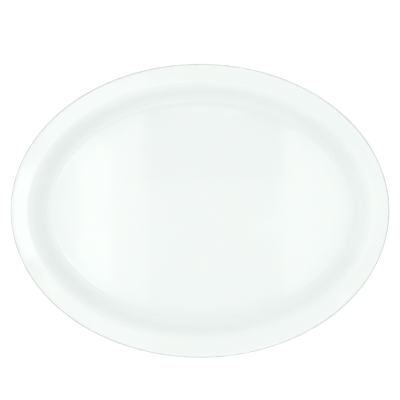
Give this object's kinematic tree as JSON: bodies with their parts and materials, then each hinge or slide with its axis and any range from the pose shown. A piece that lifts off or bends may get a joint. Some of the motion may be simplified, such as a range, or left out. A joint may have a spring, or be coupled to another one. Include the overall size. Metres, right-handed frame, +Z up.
{
  "type": "oval serving platter",
  "caption": "Oval white porcelain serving platter with a flat sloping rim, shallow well, oval foot ring and a fine metal line round the lip.",
  "frame": {"origin": "middle of the oval, on the plane of the foot's tread", "axes": "+X along the long axis of the oval, +Y across it, +Z up out of the well"},
  "size_m": [0.343, 0.266, 0.023],
  "materials": {
    "fired_clay": "matt, unglazed fired porcelain",
    "glaze": "clear gloss glaze over white porcelain, faintly cool",
    "edge_metal": "burnished, fired-on platinum-coloured line",
    "stamp_ink": "printed ink under gloss glaze"
  },
  "bodies": {
    "root": {"porcelain_body": "fired_clay", "main_glaze": "glaze", "base_glaze": "glaze", "edge_line": "edge_metal", "backstamp": "stamp_ink"}
  },
  "joints": []
}
